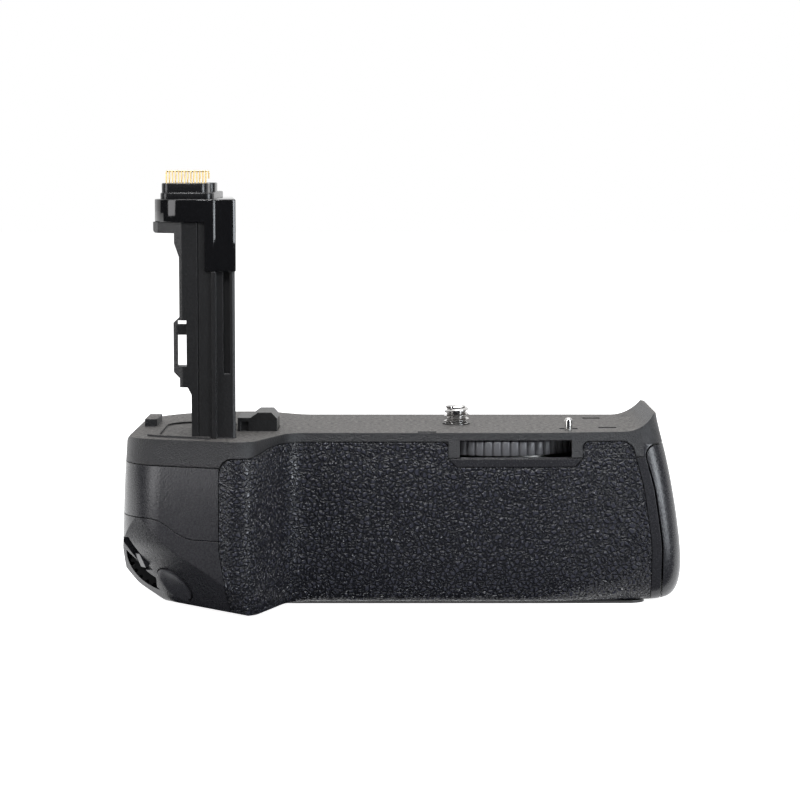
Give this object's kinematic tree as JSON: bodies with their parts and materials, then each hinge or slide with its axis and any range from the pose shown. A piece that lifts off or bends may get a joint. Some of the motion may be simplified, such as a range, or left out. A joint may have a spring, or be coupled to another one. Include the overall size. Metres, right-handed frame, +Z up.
{
  "type": "camera battery grip",
  "caption": "Vertical battery grip that screws under a camera, with a battery stalk, thumbwheel, shutter button, dial and slide-out cell magazine.",
  "frame": {"origin": "where the attachment screw's axis meets the seat that the camera stands on", "axes": "+Z up along the attachment screw, +X along the grip to the magazine's end, the camera's lens side faces -Y"},
  "size_m": [0.1375, 0.0825, 0.107],
  "materials": {
    "seat_plastic": "coarse speckled",
    "housing_plastic": "fine speckled",
    "grip_rubber": "leather textured",
    "stalk_plastic": "fine speckled",
    "gloss_black": "polished",
    "connector_plastic": "satin",
    "contact_gold": "gold plated",
    "control_plastic": "satin",
    "wheel_rubber": "ribbed",
    "inner_plastic": "plain",
    "bright_steel": "polished",
    "plain_steel": "plain",
    "black_steel": "blackened",
    "pad_rubber": "fine grooved",
    "socket_steel": "turned",
    "circuit_board": "lacquered",
    "ribbon_film": "film"
  },
  "bodies": {
    "grip_body": {"top_cover": "seat_plastic", "lower_housing": "housing_plastic", "control_housing": "housing_plastic", "front_grip_skin": "grip_rubber", "rear_grip_skin": "grip_rubber", "side_panel": "housing_plastic", "base_plate": "black_steel", "base_pad": "pad_rubber", "base_screws": "black_steel", "tripod_socket": "socket_steel", "stalk_body": "stalk_plastic", "stalk_cap": "gloss_black", "stalk_screws": "plain_steel", "connector_block": "connector_plastic", "contact_pins": "contact_gold", "door_block": "stalk_plastic", "wheel_carrier": "plain_steel", "carrier_screws": "plain_steel", "locating_pin": "bright_steel", "shutter_switch": "inner_plastic", "dial_axle": "plain_steel", "key_board": "circuit_board", "key_switches": "inner_plastic", "power_board": "circuit_board", "board_chips": "inner_plastic", "ribbon_cable": "ribbon_film", "contact_block": "connector_plastic", "bay_blades": "contact_gold"},
    "attachment_screw": {"attachment_screw": "bright_steel", "screw_pinion": "plain_steel", "screw_clip": "plain_steel"},
    "thumbwheel": {"thumbwheel_tyre": "wheel_rubber", "wheel_ring_gear": "inner_plastic"},
    "shutter_button": {"shutter_button": "control_plastic"},
    "main_dial": {"main_dial": "control_plastic"},
    "power_switch": {"power_switch": "control_plastic"},
    "focus_start_button": {"focus_start_button": "control_plastic"},
    "exposure_lock_button": {"exposure_lock_button": "control_plastic"},
    "focus_point_button": {"focus_point_button": "control_plastic"},
    "magazine": {"magazine_frame": "inner_plastic", "magazine_end_cap": "housing_plastic", "magazine_contacts": "contact_gold"},
    "lock_knob": {"lock_knob": "control_plastic", "lock_cam": "plain_steel"},
    "upper_cell_catch": {"upper_cell_catch": "control_plastic"},
    "lower_cell_catch": {"lower_cell_catch": "control_plastic"}
  },
  "joints": [
    {"name": "thumbwheel_turn", "type": "hinge", "parent": "grip_body", "child": "thumbwheel", "pos_m": [0.01068, -0.00069, -0.004], "axis": [0, 0, 1], "continuous": true},
    {"name": "screw_turn", "type": "hinge", "parent": "grip_body", "child": "attachment_screw", "pos_m": [0, 0, -0.004], "axis": [0, 0, 1], "continuous": true},
    {"name": "shutter_press", "type": "slide", "parent": "grip_body", "child": "shutter_button", "axis": [0.5703, 0.5703, 0.5912], "range_m": [0, 0.001], "stiffness_N_per_m": 300, "springref_m": -0.001},
    {"name": "main_dial_turn", "type": "hinge", "parent": "grip_body", "child": "main_dial", "pos_m": [-0.0718, -0.0211, -0.0293], "axis": [0, 1, 0], "continuous": true},
    {"name": "power_switch_slide", "type": "slide", "parent": "grip_body", "child": "power_switch", "axis": [-0.3745, -0.1872, 0.9081], "range_m": [0, 0.004]},
    {"name": "focus_start_press", "type": "slide", "parent": "grip_body", "child": "focus_start_button", "axis": [0, -1, 0], "range_m": [0, 0.0007], "stiffness_N_per_m": 300, "springref_m": -0.001},
    {"name": "exposure_lock_press", "type": "slide", "parent": "grip_body", "child": "exposure_lock_button", "axis": [0, -1, 0], "range_m": [0, 0.0007], "stiffness_N_per_m": 300, "springref_m": -0.001},
    {"name": "focus_point_press", "type": "slide", "parent": "grip_body", "child": "focus_point_button", "axis": [0, -1, 0], "range_m": [0, 0.0007], "stiffness_N_per_m": 300, "springref_m": -0.001},
    {"name": "magazine_slide", "type": "slide", "parent": "grip_body", "child": "magazine", "axis": [1, 0, 0], "range_m": [0, 0.112]},
    {"name": "lock_knob_turn", "type": "hinge", "parent": "magazine", "child": "lock_knob", "pos_m": [0.053, 0.0022, -0.024], "axis": [1, 0, 0], "range_deg": [0, 90]},
    {"name": "upper_catch_slide", "type": "slide", "parent": "magazine", "child": "upper_cell_catch", "axis": [-1, 0, 0], "range_m": [0, 0.0008], "stiffness_N_per_m": 300, "springref_m": -0.001},
    {"name": "lower_catch_slide", "type": "slide", "parent": "magazine", "child": "lower_cell_catch", "axis": [-1, 0, 0], "range_m": [0, 0.0008], "stiffness_N_per_m": 300, "springref_m": -0.001}
  ],
  "couplings": [
    {"joint": "screw_turn", "follows": "thumbwheel_turn", "ratio": 3}
  ]
}
